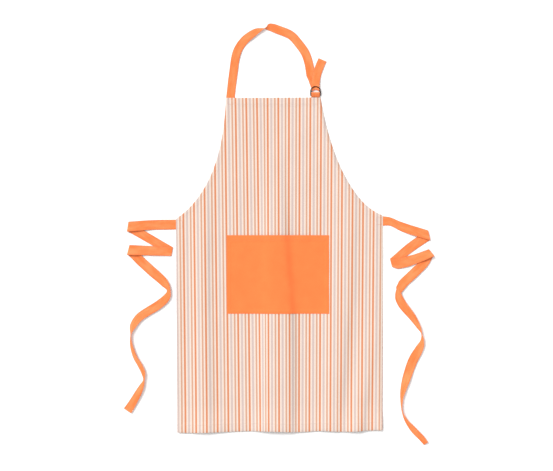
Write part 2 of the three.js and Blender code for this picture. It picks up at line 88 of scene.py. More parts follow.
RING_X, RING_HALF, RING_DEPTH = 0.1044, 0.0143, 0.020
WIRE, RING_CORNER = 1.3 * MM, 2.2 * MM
LOWER_RING_Y, LOWER_RING_Z = 0.4087, 0.0025
UPPER_RING_Y, UPPER_RING_Z, UPPER_RING_RISE = 0.4152, 0.0057, 0.0013

STRIPE_PERIOD = 0.0313
STRIPE_START = -0.1297  # middle of one orange line, at the bib


def metres(points):
    """Places given in mm, in metres; what follows a place's two numbers stays as it is."""
    return [(x / 1000, y / 1000, *rest) for x, y, *rest in points]


# Routes of the tapes: x, y, the tape's turn about its own length in degrees, 90 on edge, and for
# some a skew, the angle in plan from a square cross-section.
STRAP_ROUTE = metres([
    (-143.8, 404.4, 0), (-136.2, 469, 0), (-124.5, 536.6, -4), (-105, 568, -10), (-74, 593, -36),
    (-56, 601.5, -66), (-44, 604.7, -90), (-36, 606, -116, -12), (-27.4, 609, -152, -24),
    (-6, 601.8, -176), (32.9, 585, -180), (56, 560, -180), (74.5, 533, -180), (84.3, 504.4, -180),
    (90.3, 468, -180),
])
TAIL_ROUTE = metres([
    (104.4, 441.8, 4.55 * MM), (104.4, 449, 3.65 * MM), (108, 469.4, 2.1 * MM),
    (116, 492.8, 1.8 * MM), (124.8, 513.5, 1.6 * MM),
])
TAB_PATH = metres([  # y and z of the tab's way round the rings
    (403.9, 0.45), (408.9, 0.45), (414.5, 0.45), (416.7, 1.2), (418, 3), (418.3, 5.3), (417.8, 7),
    (415.5, 7.9), (411.9, 6.7), (407.5, 4.2), (404, 1.5),
])


def tie_plan(out, seam, loops, creases, bends, lead, route):
    """A waist tie from numbers in mm. It folds at three creases and goes on along its route.

    The seam is x and the tape's upper and lower y. A crease is two edges of the tape, and a bend
    is two edges and its share of the way between creases. The loops are the heights of the upper
    layer's edges at each crease, and lead counts the first rows of the route that are left out.
    """
    return {
        "out": out, "seam": [v / 1000 for v in seam], "loops": loops, "lead": lead,
        "creases": [metres(crease) for crease in creases],
        "bends": [[(share, *metres(edges)) for share, *edges in leg] for leg in bends],
        "route": metres(route),
    }


LEFT_TIE = tie_plan(
    out=-1, seam=(-303.3, 47, 18.3), loops=[(3.0, 6.5), (2.6, 2.6), (3.0, 7.0)], lead=10,
    creases=[
        [(-441.7, 41), (-446, 12)], [(-311.7, -32.9), (-316.1, -59.1)],
        [(-438.7, -27), (-446, -56.2)],
    ],
    bends=[[(0.55, (-379.4, 45.2), (-381.8, 16.8))], [], []],
    route=[
        (-406, -74, 8), (-374, -103, 8), (-339, -135, 28), (-324, -159.5, 67), (-331, -181, 40),
        (-357, -203.8, 27), (-385, -221, 28), (-411, -239, 34), (-427.5, -262, 48),
        (-434.5, -289, 84), (-434, -313, 76), (-429, -335, 68), (-420.5, -357, 64),
        (-408.5, -377, 60), (-398.5, -399, 64), (-396.5, -421, 80), (-402.5, -438, 62),
        (-411.5, -456, 48), (-422, -475, 40), (-432.5, -493, 32), (-444.5, -511, 25),
    ])
RIGHT_TIE = tie_plan(
    out=1, seam=(301.8, 57, 29.5), loops=[(3.0, 4.5), (2.6, 2.6), (3.5, 8.0)], lead=6,
    creases=[
        [(432.9, 15.9), (439.6, -13.3)], [(321.3, -66.4), (327.8, -91.3)],
        [(435.8, -39.6), (451.9, -60.6)],
    ],
    bends=[
        [(0.15, (321.5, 54), (322.5, 29)), (0.34, (346.4, 43.6), (348.7, 16))],
        [(0.5, (377.1, -20), (383.7, -49.5))],
        [(0.12, (335, -66.8), (343, -96)), (0.3, (357, -63), (366, -92.5)),
         (0.6, (390, -55), (402.3, -80.5))],
    ],
    route=[
        (414.4, -87.3, -18), (397, -103.9, -15), (378.8, -121.2, -15), (362.5, -136.7, -16),
        (349, -154.2, -19, -36), (346.8, -162, -50, -36), (346.6, -171.8, -47, -8),
        (349.2, -184.5, -34), (359, -202, -28), (386, -236, -44), (405, -266, -66),
        (414, -286, -86), (415.5, -306, -70), (407, -330, -36), (389, -363, -16),
        (373.5, -405, -27), (360, -450, -56), (355.5, -478, -76), (357, -511, -86),
        (367, -536, -74), (391, -567, -52), (416, -593, -54), (426.5, -606.5, -60),
    ])

# Soft folds that run down the panel, in mm: the line it rises along and that line's softness, the
# same for the line where it falls, and its height. A line is (y, x) points, a height (y, height).
FOLDS = [
    ([(-570, -245), (50, -245)], 22, [(-570, -198), (-100, -207), (100, -204)], 11,
     [(-570, 5.5), (-300, 5.8), (0, 5), (100, 2.2), (200, 0)]),
    ([(-570, -50), (300, -40)], 20,
     [(-570, 40), (-225, 38), (-135, 33), (-88, 28), (-20, 23), (100, 17), (400, 13)], 10.5,
     [(-570, 9.2), (-100, 9.2), (20, 8), (150, 2.8), (300, 0)]),
    ([(-570, 130), (0, 155)], 18,
     [(-570, 170), (-480, 183), (-320, 198), (-190, 210), (120, 226)], 11,
     [(-570, 3.6), (-480, 4.6), (-300, 5.8), (-150, 4.4), (40, 3.6), (120, 2.2), (200, 0)]),
    ([(-570, 205), (-300, 232)], 12, [(-570, 240), (-300, 285)], 11,
     [(-570, 6.2), (-450, 5.2), (-300, 1.8), (-200, 0)]),
]
# How much cloth is taken in across the panel: by two folds, and evenly right of the middle.
TAKEN_LEFT, TAKEN_MIDDLE, TAKEN_RIGHT = 0.0086, 0.0044, 0.0059
# How far the foot edge strays from a straight line: (x, distance).
FOOT_WAVE = metres([
    (-299, -3.4), (-256, -4.8), (-225, -4.2), (-190, -3.2), (-150, -2), (-50, -1.2), (0, -2.2),
    (30, -3.6), (70, -3.8), (120, -1.4), (170, -3.6), (210, -3.6), (250, -1.4), (299, -0.4),
])


# ---- camera and light ----
def add_object(name, data):
    made = bpy.data.objects.new(name, data)
    bpy.context.scene.collection.objects.link(made)
    return made


def add_camera():
    """The camera looks straight down; all lengths in metres, the lens in mm."""
    data = bpy.data.cameras.new("camera")
    data.lens = 85
    data.sensor_width = 36
    data.clip_end = 100
    camera = add_object("camera", data)
    camera.location = (-0.0095, 0.0007, 3.813)
    bpy.context.scene.camera = camera


def add_light():
    """A pale surround and one large soft key from the upper left."""
    bpy.context.scene.view_settings.view_transform = "Standard"
    world = bpy.data.worlds.new("studio")
    world.use_nodes = True
    background = world.node_tree.nodes["Background"]
    background.inputs["Color"].default_value = (1.0, 1.0, 1.0, 1.0)
    background.inputs["Strength"].default_value = 0.77
    bpy.context.scene.world = world
    data = bpy.data.lights.new("key", "SUN")
    data.energy = 2.95
    data.angle = math.radians(32)
    key = add_object("key", data)
    key.rotation_mode = "QUATERNION"
    key.rotation_quaternion = Vector((0.55, -0.50, -0.67)).to_track_quat("-Z", "Y")


add_camera()
add_light()

# ---- materials ----
LIGHT = 1.4  # what the studio light makes of a level white surface


def dye(red, green, blue):
    """The linear colour that shows as this display colour, 0 to 255, under the studio light."""
    parts = [c / 255 for c in (red, green, blue)]
    linear = [c / 12.92 if c <= 0.04045 else ((c + 0.055) / 1.055) ** 2.4 for c in parts]
    return (*(c / LIGHT for c in linear), 1.0)


class Shader:
    """A material's node tree, with a short way to add nodes: inputs may be values or sockets."""

    def __init__(self, name):
        self.material = bpy.data.materials.new(name)
        self.material.use_nodes = True
        self.tree = self.material.node_tree
        self.surface = self.tree.nodes["Principled BSDF"]

    def feed(self, socket, value):
        if isinstance(value, bpy.types.NodeSocket):
            self.tree.links.new(value, socket)
        else:
            socket.default_value = value

    def add(self, kind, inputs=None, **settings):
        made = self.tree.nodes.new(kind)
        for key, value in settings.items():
            setattr(made, key, value)
        for key, value in (inputs or {}).items():
            self.feed(made.inputs[key], value)
        return made

    def math(self, operation, a, b=0.0, c=0.0):
        return self.add("ShaderNodeMath", {0: a, 1: b, 2: c}, operation=operation).outputs[0]

    def scaled(self, value, by, plus):
        return self.math("MULTIPLY_ADD", value, by, plus)

    def relief(self, height, strength, distance):
        return self.add(
            "ShaderNodeBump", {"Strength": strength, "Distance": distance, "Height": height},
        ).outputs[0]

    def set(self, **values):
        for key, value in values.items():
            title = key.replace("_", " ").title().replace("Ior", "IOR")
            self.feed(self.surface.inputs[title], value)

    def noise(self, vector, scale, detail=2.0, stretch=(1, 1, 1)):
        """Noise from 0 to 1 over the cloth's own coordinates, drawn out along one of them."""
        scaled = self.add("ShaderNodeVectorMath", {0: vector, 1: stretch}, operation="MULTIPLY")
        made = self.add(
            "ShaderNodeTexNoise", {"Vector": scaled.outputs[0], "Scale": scale, "Detail": detail})
        return made.outputs["Fac"]

    def between(self, share, low, high, start=0.0, end=1.0):
        """A colour that goes from low to high as share goes from start to end."""
        made = self.add("ShaderNodeValToRGB", {0: share})
        for element, position, colour in zip(made.color_ramp.elements, (start, end), (low, high)):
            element.position = position
            element.color = dye(*colour)
        return made.outputs[0]

    def cloth_place(self):
        """The cloth's own coordinates: the whole vector, and across, along and the third part."""
        place = self.add("ShaderNodeAttribute", attribute_name="cloth").outputs["Vector"]
        return place, *self.add("ShaderNodeSeparateXYZ", {0: place}).outputs


def woven(name, paint, pitch, chevron=False):
    """A woven cloth with slubs and a soft sheen, coloured by paint. chevron is tape's twill, whose
    edges are darker: partly a denser selvage, partly painted shade of their contact shadow.
    """
    shader = Shader(name)
    place, across, along, edge = shader.cloth_place()

    def yarn(distance):
        return shader.math("SINE", shader.math("MULTIPLY", distance, math.pi / pitch))

    if chevron:
        weave = yarn(shader.math("ADD", along, shader.math("ABSOLUTE", across)))
    else:
        weave = shader.math("MULTIPLY", yarn(across), yarn(along))
    warp = shader.noise(place, 1.2 / pitch, 2, (1, 0.06, 1))
    weft = shader.noise(place, 1.1 / pitch, 2, (0.06, 1, 1))
    cloud = shader.noise(place, 60, 2, (1, 0.3, 1)) if chevron else shader.noise(place, 28, 3)
    yarns = shader.math("ADD", warp, weft)
    height = shader.scaled(weave, 0.5, yarns)
    shade = shader.scaled(yarns, 0.16, 0.815)
    shade = shader.scaled(cloud, 0.05, shade)
    shade = shader.scaled(weave, 0.035, shade)
    if chevron:
        # Darker tape edges: partly a denser selvage, partly painted shade standing in for the
        # contact shadow along them.
        selvage_and_edge_shade = shader.add(
            "ShaderNodeMapRange", {0: edge, 1: 0.84 * MM, 2: 0.95 * MM, 3: 0.0, 4: -0.16})
        shade = shader.math("ADD", shade, selvage_and_edge_shade.outputs[0])
    colour = paint(shader, across, weave, cloud)
    painted = shader.add("ShaderNodeVectorMath", {0: colour, "Scale": shade}, operation="SCALE")
    shader.set(
        base_color=painted.outputs[0],
        roughness=shader.scaled(yarns, 0.08, 0.86 - 0.08),
        normal=shader.relief(height, 0.5, 0.35 * pitch), sheen_weight=0.12, sheen_roughness=0.45,
        sheen_tint=(1.0, 0.93, 0.86, 1.0), specular_ior_level=0.2,
    )
    return shader.material


def plain(light, dark, mottle):
    """A paint in two shades: light where the weft is on top and, by mottle, in patches."""
    def paint(shader, across, weave, cloud):
        patches = shader.scaled(cloud, mottle, 0.5 - 0.5 * mottle)
        return shader.between(shader.scaled(weave, 0.3, patches), dark, light)
    return paint


CREAM = (255, 235, 221)
STRIPES = [  # middle and half width, as parts of a period, and colour
    (0.013, 0.072, (236, 152, 110)), (0.35, 0.090, (227, 204, 196)),
    (0.683, 0.068, (231, 177, 148)),
]
STRIPE_SOFT = 0.018  # how far a line's edge fades, as part of a period


def striped(shader, across, weave, cloud):
    """The panel's stripes along its length: orange, grey pink and tan lines on cream."""
    periods = shader.scaled(across, 1 / STRIPE_PERIOD, -STRIPE_START / STRIPE_PERIOD)
    bands = shader.add("ShaderNodeValToRGB", {0: shader.math("FRACT", periods)})
    elements = bands.color_ramp.elements
    elements[0].color = elements[1].color = dye(*STRIPES[0][2])
    for middle, half, colour in STRIPES + [(1.0, *STRIPES[0][1:])]:
        for position, shown in (
            (middle - half - STRIPE_SOFT, CREAM), (middle - half, colour), (middle + half, colour),
            (middle + half + STRIPE_SOFT, CREAM),
        ):
            if 0 < position < 1:
                elements.new(position).color = dye(*shown)
    return bands.outputs[0]


def thread_material(name, red, green, blue):
    """Twisted sewing thread: its ply runs round each stitch."""
    shader = Shader(name)
    _, around, along, _ = shader.cloth_place()
    turn = shader.scaled(along, 9000.0, around)
    ply = shader.scaled(shader.math("SINE", turn), 0.5, 0.5)
    shader.set(
        base_color=shader.between(ply, (red * 0.86, green * 0.82, blue * 0.80), (red, green, blue)),
        normal=shader.relief(ply, 0.4, 0.1 * MM), roughness=0.6,
        sheen_weight=0.2, sheen_roughness=0.4,
    )
    return shader.material


def metal_material():
    """Dark bronze plating with fine scratches, worn a little lighter in places."""
    shader = Shader("ring_bronze")
    place = shader.add("ShaderNodeTexCoord").outputs["Object"]
    worn = shader.noise(place, 260, 4)
    scratch = shader.noise(place, 1500, 3, (1, 0.12, 1))
    shader.set(
        base_color=shader.between(worn, (58, 42, 34), (100, 76, 58), 0.42, 0.72), metallic=1.0,
        normal=shader.relief(scratch, 0.15, 0.05 * MM),
        roughness=shader.scaled(scratch, 0.25, 0.2),
    )
    return shader.material


STRIPED = woven("striped_cotton", striped, 0.55 * MM)
ORANGE = woven("orange_cotton", plain((284, 148, 80), (276, 138, 72), 0.9), 0.5 * MM)
TAPE_CLOTH = woven(
    "orange_tape", plain((284, 165, 104), (270, 138, 71), 2.6), 1.1 * MM, chevron=True)
CREAM_THREAD = thread_material("cream_thread", 248, 224, 207)
ORANGE_THREAD = thread_material("orange_thread", 265, 143, 84)
METAL = metal_material()


# ---- meshes ----
def mesh_piece(name, points, faces, material, cloth):
    """A smooth mesh object; cloth is each point's place on the flat cloth, in metres."""
    mesh = bpy.data.meshes.new(name)
    mesh.from_pydata(np.asarray(points).reshape(-1, 3).tolist(), [], faces)
    mesh.attributes.new("cloth", "FLOAT_VECTOR", "POINT").data.foreach_set(
        "vector", np.asarray(cloth, np.float32).ravel())
    mesh.polygons.foreach_set("use_smooth", np.ones(len(mesh.polygons), bool))
    mesh.materials.append(material)
    mesh.update()
    return add_object(name, mesh)


def quads(a, b, c, d):
    """Four-sided faces from four grids of point numbers of the same size."""
    return np.stack([a, b, c, d], -1).reshape(-1, 4)


def shell(name, upper, lower, material, cloth, cloth_below=None):
    """A closed sheet between two grids of points of the same size, (rows, columns, 3)."""
    rows, columns = upper.shape[:2]
    top = np.arange(rows * columns).reshape(rows, columns)
    under = top + rows * columns
    faces = np.concatenate([
        quads(top[:-1, :-1], top[:-1, 1:], top[1:, 1:], top[1:, :-1]),
        quads(under[:-1, :-1], under[1:, :-1], under[1:, 1:], under[:-1, 1:]),
        quads(top[1:, 0], under[1:, 0], under[:-1, 0], top[:-1, 0]),
        quads(top[:-1, -1], under[:-1, -1], under[1:, -1], top[1:, -1]),
        quads(top[0, :-1], under[0, :-1], under[0, 1:], top[0, 1:]),
        quads(top[-1, 1:], under[-1, 1:], under[-1, :-1], top[-1, :-1]),
    ])
    places = np.concatenate([cloth, cloth if cloth_below is None else cloth_below])
    return mesh_piece(name, np.concatenate([upper, lower]), faces.tolist(), material, places)


def grid_of(*layers):
    """One array (rows, columns, parts) from arrays or numbers that have the same grid."""
    return np.stack(np.broadcast_arrays(*layers), -1).astype(float)


def hermite(t, start, start_slope, end, end_slope):
    """A cubic from start to end, as t goes from 0 to 1, with these slopes there."""
    return (
        (1 + 2 * t) * (1 - t) ** 2 * start + t * (1 - t) ** 2 * start_slope
        + t * t * (3 - 2 * t) * end + t * t * (t - 1) * end_slope
    )


def through(value, knots):
    """A smooth curve through (position, value) knots, flat beyond the ends."""
    at, out = np.array(knots, float).T
    slope = np.gradient(out, at)
    held = np.clip(value, at[0], at[-1])
    i = np.clip(np.searchsorted(at, held) - 1, 0, len(at) - 2)
    span = at[i + 1] - at[i]
    return hermite(
        (held - at[i]) / span, out[i], span * slope[i], out[i + 1], span * slope[i + 1])


def step(value, centre, softness):
    """0 well before the centre and 1 well after it."""
    return 0.5 * (1 + np.tanh((value - centre) / softness))


def ramp(value, start, end):
    """0 at the start and 1 at the end, level at both."""
    t = np.clip((value - start) / (end - start), 0, 1)
    return t * t * (3 - 2 * t)


def waves(x, y, seed, short, long, count=18):
    """Gentle random ripples of about unit height, with wavelengths from short to long."""
    rng = np.random.default_rng(seed)
    total = np.zeros(np.broadcast(x, y).shape)
    limits = ((short, long), (0, math.pi), (0, 2 * math.pi))
    for length, angle, phase in zip(*(rng.uniform(*pair, count) for pair in limits)):
        total += np.sin((x * math.cos(angle) + y * math.sin(angle)) * 2 * math.pi / length + phase)
    return total / math.sqrt(count / 2)


def spread(low, high, near, far, count):
    """Positions from low to high: given small steps at both ends and even ones between."""
    return np.concatenate([
        low + near[:-1], np.linspace(low + near[-1], high - far[-1], count),
        high - far[:-1][::-1],
    ])


def unit(vectors):
    """The vectors at length 1."""
    return vectors / np.maximum(np.linalg.norm(vectors, axis=-1, keepdims=True), 1e-12)


def lengths_along(points):
    """The length of a line of points, up to each of them."""
    return np.concatenate([[0], np.cumsum(np.linalg.norm(np.diff(points, axis=0), axis=1))])


# ---- the panel's outline and its surface ----
def outline_side(sign):
    """One side of the outline, from foot to bib: y, x, and how long the edge is per step of y."""
    points = {
        (round(v.co.y, 6), round(v.co.x, 6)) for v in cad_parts["front_panel"].data.vertices
        if sign * (v.co.x + 0.02) > 0
    }
    y, x = np.array(sorted(points)).T
    return y, x, np.hypot(1, np.gradient(x, y))


SIDES = {side: outline_side(side) for side in (-1, 1)}
(LEFT_Y, LEFT_X, _), (RIGHT_Y, RIGHT_X, _) = SIDES.values()
LEFT_WAIST, RIGHT_WAIST = LEFT_Y[1], RIGHT_Y[1]


def side_x(side, y):
    return np.interp(y, *SIDES[side][:2])


def side_lean(side, y):
    return np.interp(y, *SIDES[side][::2])


def foot_y(x):
    straight = np.interp(x, [LEFT_X[0], RIGHT_X[0]], [LEFT_Y[0], RIGHT_Y[0]])
    return straight + through(x, FOOT_WAVE)


def bib_y(x):
    return np.interp(x, [LEFT_X[-1], RIGHT_X[-1]], [LEFT_Y[-1], RIGHT_Y[-1]])


def edge_distances(x, y):
    """Distances in from the panel's left, right, foot and bib edges."""
    sides = (side * (side_x(side, y) - x) / side_lean(side, y) for side in SIDES)
    return *sides, y - foot_y(x), bib_y(x) - y


def hem_widths(y):
    sides = (np.where(y < waist, SIDE_HEM, ARM_HEM) for waist in (LEFT_WAIST, RIGHT_WAIST))
    return *sides, FOOT_HEM, BIB_HEM


def fold_height(x, y):
    total = np.zeros(np.broadcast(x, y).shape)
    for rise, rise_soft, fall, fall_soft, height in FOLDS:
        up = step(x, through(y, metres(rise)), rise_soft * MM)
        down = step(x, through(y, metres(fall)), fall_soft * MM)
        total += through(y, metres(height)) * (up - down)
    return total


def cloth_level(x, y):
    """The panel's upper face without its hems: its folds and ripples."""
    ripple = waves(x, y, 3, 0.09, 0.24) * 0.22 * MM + waves(x, y * 0.5, 5, 0.03, 0.07) * 0.07 * MM
    return PANEL_TOP + fold_height(x, y) + ripple


def edge_lift(x, y):
    """The foot hem curls up, unevenly, and the right side rolls over at its edge."""
    _, right, foot, _ = edge_distances(x, y)
    uneven = 1 + 0.3 * waves(x, 0.0, 9, 0.05, 0.16)
    curl = FOOT_CURL * uneven * (1 - ramp(foot, 0.0, FOOT_CURL_WIDTH))
    dip = FOOT_DIP * (1 - ramp(foot, 0.0, FOOT_DIP_WIDTH))
    return curl - dip + SIDE_ROLL * (ramp(right, 0.0, 0.0065) - ramp(right, 0.009, 0.060))


def doubled(gap, width, soft):
    """1 over a hem or turning of this width, falling to 0 past its inner edge."""
    return 1 - ramp(gap, width - 0.3 * MM, width + soft)


def grooved(gap, at):
    """1 along a seam at this distance from an edge, 0 away from it."""
    return np.exp(-((gap - at) / GROOVE) ** 2)


def panel_top(x, y):
    """The panel's upper face, with hems, puckers and seam grooves, before its edge is rounded."""
    level = cloth_level(x, y) + edge_lift(x, y)
    lift = np.zeros_like(level)
    groove = np.zeros_like(level)
    for gap, width in zip(edge_distances(x, y), hem_widths(y)):
        lift = np.maximum(lift, doubled(gap, width, 1.6 * MM))
        groove = np.maximum(groove, grooved(gap, width - STITCH_IN))
    pucker = waves(x, y, 8, 0.010, 0.022) * lift * 0.10 * MM
    return level + lift * HEM_STEP + pucker - groove * 0.22 * MM


def drift(x, y):
    """How far a stripe strays sideways: the folds take cloth in, more towards the foot."""
    grown = np.clip((0.40 - y) / 0.94, 0, 1.1) ** 0.85
    fall = through(y, metres(FOLDS[1][2]))
    taken = TAKEN_LEFT * step(x, -0.045, 0.012) + TAKEN_MIDDLE * step(x, fall, 0.010)
    return grown * (0.011 - taken - TAKEN_RIGHT * np.clip((x - 0.04) / 0.23, 0, 1.2))


def cloth_place(x, y):
    return grid_of(x - drift(x, y), y, 0.0)


# Places of the mesh's lines in from the panel's edges, closest where it is rounded and sewn.
ROUNDED = [0.0, 0.12, 0.35, 0.75, 1.4, 3.0]
EDGE_STEPS = np.array([*ROUNDED, 6.0, 8.6, 9.5, 10.4, 11.6, 14.2, 16.5]) * MM
FOOT_STEPS = np.array([*ROUNDED, 7.0, 12.0, 17.0, 20.0, 21.6, 22.5, 23.4, 25.2, 28.0]) * MM
BIB_STEPS = np.array([*ROUNDED, 7.0, 12.0, 16.5, 18.6, 19.5, 20.4, 22.2, 25.0]) * MM
PANEL_ROWS, PANEL_COLUMNS = 236, 132
WAIST_SHARE = 0.64  # share of the rows that lie below the waist


def rounded(gap):
    """0 at an edge to 1 a little way in, as a pressed fold turns over."""
    return np.sqrt(1 - (1 - np.clip(gap / EDGE_ROUND, 0, 1)) ** 2)


def apron_panel():
    """The whole front as one cloth: rows from foot to bib, columns from side to side."""
    middle = np.linspace(0, 1, PANEL_ROWS)
    columns = np.linspace(0, 1, PANEL_COLUMNS)[1:-1]
    length = LEFT_Y[-1] - LEFT_Y[0]
    share = np.concatenate([
        FOOT_STEPS / length, middle[(middle > 0.030) & (middle < 0.973)],
        1 - BIB_STEPS[::-1] / length,
    ])[:, None]
    left_y, right_y = (
        np.interp(share, [0, WAIST_SHARE, 1], [y[0], y[1], y[-1]]) for y in (LEFT_Y, RIGHT_Y))
    left_x, right_x = side_x(-1, left_y), side_x(1, right_y)
    left_in = left_x + EDGE_STEPS * side_lean(-1, left_y)
    right_in = right_x - EDGE_STEPS * side_lean(1, right_y)
    inner = left_in[:, -1:] + columns * (right_in[:, -1:] - left_in[:, -1:])
    x = np.concatenate([left_in, inner, right_in[:, ::-1]], axis=1)
    y = left_y + (right_y - left_y) * (x - left_x) / (right_x - left_x)
    y += through(x, FOOT_WAVE) * (1 - ramp(share, 0.0, 0.12))
    end_gap = np.minimum(share, 1 - share) * length
    under = 1 - rounded(np.minimum(np.minimum(x - left_x, right_x - x), end_gap))
    z = panel_top(x, y)
    upper = grid_of(x, y, z - EDGE_DROP * under)
    lower = grid_of(x, y, z - CLOTH - (EDGE_DROP - CLOTH + 0.15 * MM) * under)
    return shell("apron_panel", upper, lower, STRIPED, cloth_place(x, y))


# ---- hems ----
def hem_piece(name, outer, inner, mirrored):
    """Cloth turned to the back between an edge and its seam: flat, and rounded at both sides."""
    shares = np.array([0.0, 0.02, 0.06, 0.3, 0.6, 0.94, 0.98, 1.0])
    plump = np.array([0.35, 0.75, 1.0, 1.0, 1.0, 1.0, 0.75, 0.35])
    plan = outer[:, None] + (inner - outer)[:, None] * shares[None, :, None]
    x, y = plan[..., 0], plan[..., 1]
    middle = panel_top(x, y) - CLOTH - HEM_GAP - HEM / 2
    upper, lower = (grid_of(x, y, middle + side * plump * HEM / 2) for side in (1, -1))
    place = cloth_place(x, y)
    if mirrored:
        place[..., 0] = 2 * place[:, :1, 0] - place[..., 0]
    if np.cross(outer[1] - outer[0], inner[0] - outer[0]) >= 0:
        upper, lower, place = upper[:, ::-1], lower[:, ::-1], place[:, ::-1]
    return shell(name, upper, lower, STRIPED, place)


def evenly(low, high):
    """Places every 6 mm or so."""
    return np.linspace(low, high, max(8, int((high - low) / 0.006)))


def side_line(side, low, high, inset):
    """Plan points along a side of the panel, a distance in from its edge."""
    y = evenly(low, high)
    return np.stack([side_x(side, y) - side * inset * side_lean(side, y), y], -1)


def cross_line(edge, low, high, inset):
    """Plan points along the foot or bib edge, a distance up from it."""
    x = evenly(low, high)
    return np.stack([x, edge(x) + inset], -1)


def place_piece(piece, node, body="apron"):
    """Stand the piece in for its CAD node, which it hides, on its body."""
    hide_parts(node)
    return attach(piece, body)


def make_hems():
    """The panel's turned edges: four at its sides, then the foot's and the bib's."""
    made = []
    for node, edge, sign, width in (
        ("left_side_hem", None, -1, SIDE_HEM), ("left_armhole_hem", None, -1, ARM_HEM),
        ("right_side_hem", None, 1, SIDE_HEM), ("right_armhole_hem", None, 1, ARM_HEM),
        ("bottom_hem", foot_y, 1, FOOT_HEM), ("bib_top_hem", bib_y, -1, BIB_HEM),
    ):
        low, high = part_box(node)
        lines = [
            cross_line(edge, low.x, high.x, sign * inset) if edge
            else side_line(sign, low.y, high.y, inset) for inset in (EDGE_IN, width)]
        piece = hem_piece(node.replace("hem", "turning"), *lines, mirrored=not edge)
        made.append(place_piece(piece, node))
    return made


panel = place_piece(apron_panel(), "front_panel")
hems = make_hems()


# ---- pocket ----
def pocket_side(x):
    """The distance in from the nearer side of the pocket."""
    return np.minimum(x - POCKET_LOW.x, POCKET_HIGH.x - x)


def pocket_floor(x, y):
    """The underside of the pocket front: on the panel at its sewn edges, lifted at the mouth."""
    half = (POCKET_HIGH.x - POCKET_LOW.x) / 2 - POCKET_FLANGE
    across = np.clip((pocket_side(x) - POCKET_FLANGE) / half, 0, 1)
    up = ramp(y, POCKET_LOW.y + POCKET_FLANGE, POCKET_HIGH.y)
    lift = POCKET_BOW * np.sin(across * math.pi / 2) * np.minimum(1, 1.3 * up)
    return cloth_level(x, y) + REST + lift


def pocket_top(x, y):
    """The pocket's face: two layers along its edges, a groove where each seam runs."""
    sewn = np.minimum(pocket_side(x), y - POCKET_LOW.y)
    mouth = POCKET_HIGH.y - y
    double = np.maximum(
        doubled(sewn, POCKET_TURN, 1.4 * MM), doubled(mouth, POCKET_HEM, 1.4 * MM))
    groove = np.maximum(grooved(sewn, POCKET_SEAM), grooved(mouth, POCKET_HEM - POCKET_SEAM))
    pucker = waves(x, y, 12, 0.009, 0.02) * double * 0.06 * MM
    return pocket_floor(x, y) + CLOTH * (1 + 0.7 * double) + pucker - 0.2 * MM * groove


def pocket_front():
    """The pocket's cloth. Its mesh is closest where it is rounded, sewn or turned."""
    steps = np.array([0.0, 0.1, 0.3, 0.7, 1.3, 2.0, 2.9, 3.8, 5.0, 8.0, 9.8, 11.6, 14.0]) * MM
    mouth = np.array([0.0, 0.1, 0.3, 0.7, 1.3, 4.0, 9.0, 14.0, 15.1, 16.2, 17.8, 19.6, 22.0]) * MM
    x, y = np.meshgrid(
        spread(POCKET_LOW.x, POCKET_HIGH.x, steps, steps, 80),
        spread(POCKET_LOW.y, POCKET_HIGH.y, steps, mouth, 60))
    gap = np.minimum(pocket_side(x), np.minimum(y - POCKET_LOW.y, POCKET_HIGH.y - y))
    plump = 0.25 + 0.75 * rounded(gap)
    top, base = pocket_top(x, y), pocket_floor(x, y)
    middle = (top + base) / 2
    bend = 0.15 * MM * waves(x * 0, y, 21, 0.05, 0.12, 4)
    x = x + bend * (1 - ramp(pocket_side(x), 0.0, 0.04))
    upper, lower = (grid_of(x, y, middle + (face - middle) * plump) for face in (top, base))
    return shell("pocket_front", upper, lower, ORANGE, grid_of(x, y, 0.0))


def pocket_mouth_turning():
    """The mouth hem, turned to the inside of the pocket."""
    low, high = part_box("pocket_mouth_hem")
    x, y = np.meshgrid(np.linspace(low.x, high.x, 60), np.linspace(low.y, high.y, 7))
    top = pocket_floor(x, y) - HEM_GAP
    upper, lower = grid_of(x, y, top), grid_of(x, y, top - CLOTH)
    return shell("pocket_mouth_turning", upper, lower, ORANGE, grid_of(x, y, 0.0))


pocket = place_piece(pocket_front(), "pocket")
mouth_turning = place_piece(pocket_mouth_turning(), "pocket_mouth_hem")


# ---- stitches ----
# One stitch's rings: how far along they are, their height and their radius.
STITCH_ALONG = np.array([-1.25, -0.75, 0.0, 0.75, 1.25])[:, None] * MM
STITCH_UP = np.array([-0.22, 0.02, 0.10, 0.02, -0.22])[:, None] * MM
STITCH_RADIUS = np.array([0.12, 0.25, 0.28, 0.25, 0.12])[:, None] * MM
STITCH_SIDES = 6
PITCH = 3.3 * MM
TACK_NEAR, TACK_FAR, TACK_SIDE = 0.0035, 0.0185, 0.003  # a tack, in from the seam and the edges


def spaced_along(points, normals, pitch):
    """Evenly spaced places along a run, with their directions and normals."""
    lengths = lengths_along(points)
    count = max(1, int(lengths[-1] / pitch))
    at = (np.arange(count) + 0.5) * lengths[-1] / count

    def picked(line, where):
        return np.stack([np.interp(where, lengths, line[:, k]) for k in range(3)], -1)

    along = picked(points, at + MM) - picked(points, at - MM)
    return picked(points, at), unit(along), unit(picked(normals, at))


